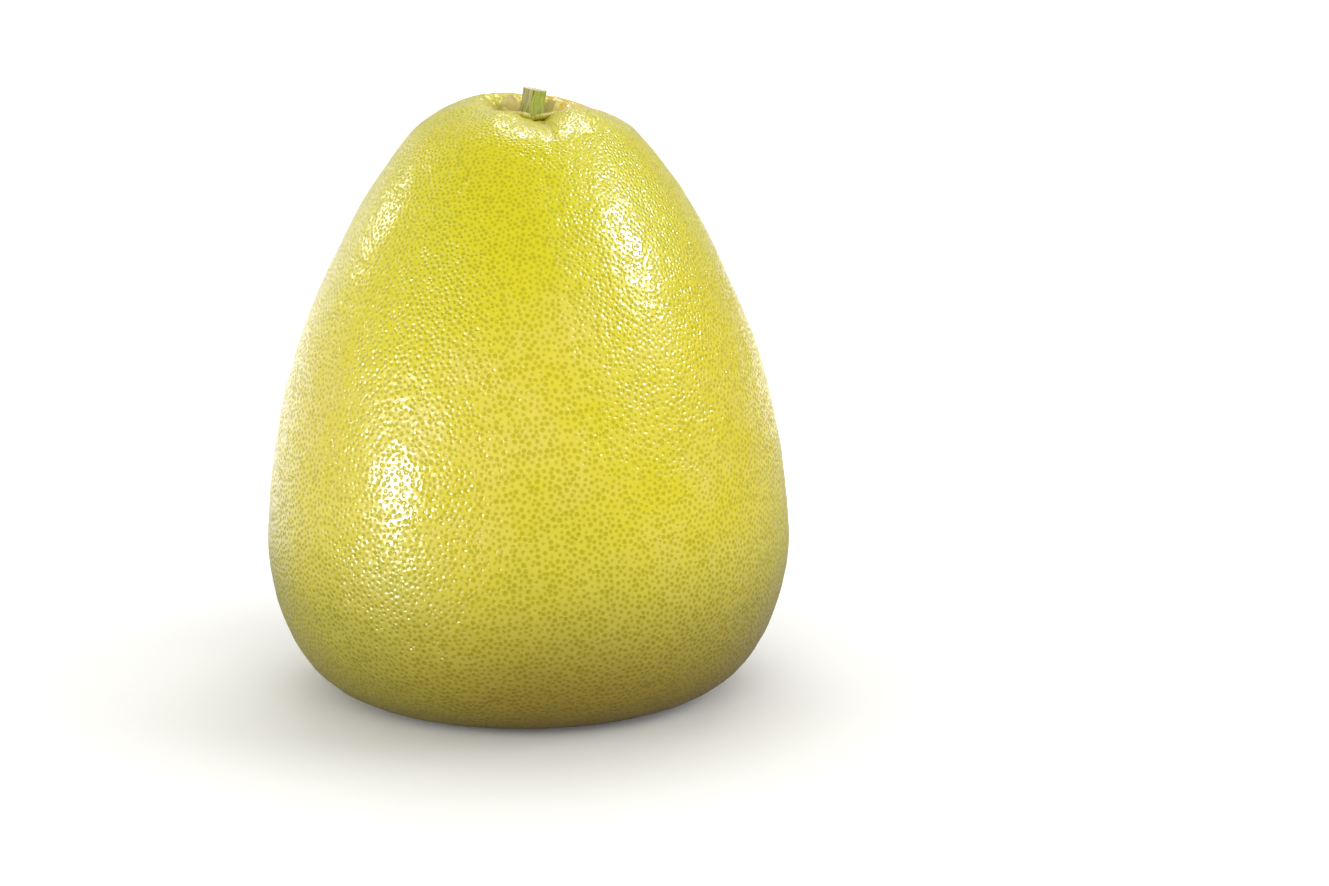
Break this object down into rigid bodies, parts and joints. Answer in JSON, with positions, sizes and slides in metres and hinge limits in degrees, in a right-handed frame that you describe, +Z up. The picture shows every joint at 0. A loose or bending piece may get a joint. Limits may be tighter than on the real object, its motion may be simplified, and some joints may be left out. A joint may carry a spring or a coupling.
{
  "type": "pomelo",
  "caption": "Whole ripe pomelo, pear-shaped, with a dip at its top that holds the lobed calyx and the cut end of its twig; it stands upright on the flat spot of its base.",
  "frame": {"origin": "middle of the flat spot on the base that the fruit rests on", "axes": "+Z up through the fruit from its base to its stem; -Y is the side the picture shows"},
  "size_m": [0.15, 0.1501, 0.174],
  "materials": {
    "rind": "waxy yellow-green citrus rind, pitted all over with oil glands about 1.6 mm apart, semi-gloss",
    "calyx": "half-dried green calyx lobes, tan and straw-coloured at their tips, matt and wrinkled lengthwise",
    "stem": "ribbed olive-green twig with tan corky stripes and a pale, fibrous cut face, matt"
  },
  "bodies": {
    "root": {"fruit": "rind", "calyx": "calyx", "stem": "stem"}
  },
  "joints": []
}
